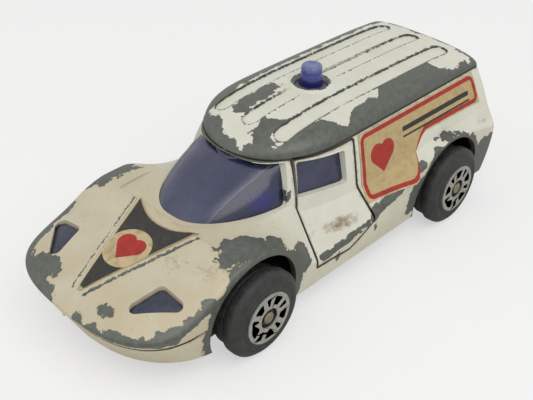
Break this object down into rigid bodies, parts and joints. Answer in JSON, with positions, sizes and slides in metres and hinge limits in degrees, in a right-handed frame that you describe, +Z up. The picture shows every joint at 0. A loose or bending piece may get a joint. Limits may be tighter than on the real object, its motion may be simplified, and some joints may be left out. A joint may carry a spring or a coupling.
{
  "type": "toy ambulance",
  "caption": "Die-cast toy ambulance with low sloping nose, wrap-round tinted windscreen, channelled roof with a blue beacon, paper labels and free-rolling plastic wheels.",
  "frame": {"origin": "on the ground under the middle of the body", "axes": "+X to the nose, +Y to the left side, +Z up"},
  "size_m": [0.0984, 0.0438, 0.0364],
  "materials": {
    "enamel_casting": "worn cream-white enamel over zinc",
    "bare_base": "dull dark grey",
    "tinted_windows": "dark blue tinted clear plastic",
    "beacon_plastic": "blue translucent plastic",
    "lamp_insert": "dark blue-grey plastic",
    "seat_plastic": "moulded black",
    "bonnet_paper": "printed paper, satin",
    "side_paper": "aged printed paper, satin",
    "axle_steel": "dull plated steel",
    "wheel_plastic": "dusty black",
    "hub_foil": "silver foil"
  },
  "bodies": {
    "chassis": {"body_casting": "enamel_casting", "base_plate": "bare_base", "window_glazing": "tinted_windows", "roof_beacon": "beacon_plastic", "headlamp_lens_left": "lamp_insert", "headlamp_lens_right": "lamp_insert", "seat_moulding": "seat_plastic", "bonnet_label": "bonnet_paper", "side_label_left": "side_paper", "side_label_right": "side_paper"},
    "front_axle": {"front_axle": "axle_steel"},
    "rear_axle": {"rear_axle": "axle_steel"},
    "front_left_wheel": {"front_left_wheel": "wheel_plastic", "front_left_hub_trim": "hub_foil"},
    "front_right_wheel": {"front_right_wheel": "wheel_plastic", "front_right_hub_trim": "hub_foil"},
    "rear_left_wheel": {"rear_left_wheel": "wheel_plastic", "rear_left_hub_trim": "hub_foil"},
    "rear_right_wheel": {"rear_right_wheel": "wheel_plastic", "rear_right_hub_trim": "hub_foil"}
  },
  "joints": [
    {"name": "front_axle_spin", "type": "hinge", "parent": "chassis", "child": "front_axle", "pos_m": [0.02325, 0, 0.0083], "axis": [0, 1, 0], "continuous": true},
    {"name": "rear_axle_spin", "type": "hinge", "parent": "chassis", "child": "rear_axle", "pos_m": [-0.03275, 0, 0.0083], "axis": [0, 1, 0], "continuous": true},
    {"name": "front_left_wheel_spin", "type": "hinge", "parent": "front_axle", "child": "front_left_wheel", "pos_m": [0.02325, 0.0187, 0.0083], "axis": [0, 1, 0], "continuous": true},
    {"name": "front_right_wheel_spin", "type": "hinge", "parent": "front_axle", "child": "front_right_wheel", "pos_m": [0.02325, -0.0187, 0.0083], "axis": [0, 1, 0], "continuous": true},
    {"name": "rear_left_wheel_spin", "type": "hinge", "parent": "rear_axle", "child": "rear_left_wheel", "pos_m": [-0.03275, 0.0187, 0.0083], "axis": [0, 1, 0], "continuous": true},
    {"name": "rear_right_wheel_spin", "type": "hinge", "parent": "rear_axle", "child": "rear_right_wheel", "pos_m": [-0.03275, -0.0187, 0.0083], "axis": [0, 1, 0], "continuous": true}
  ]
}
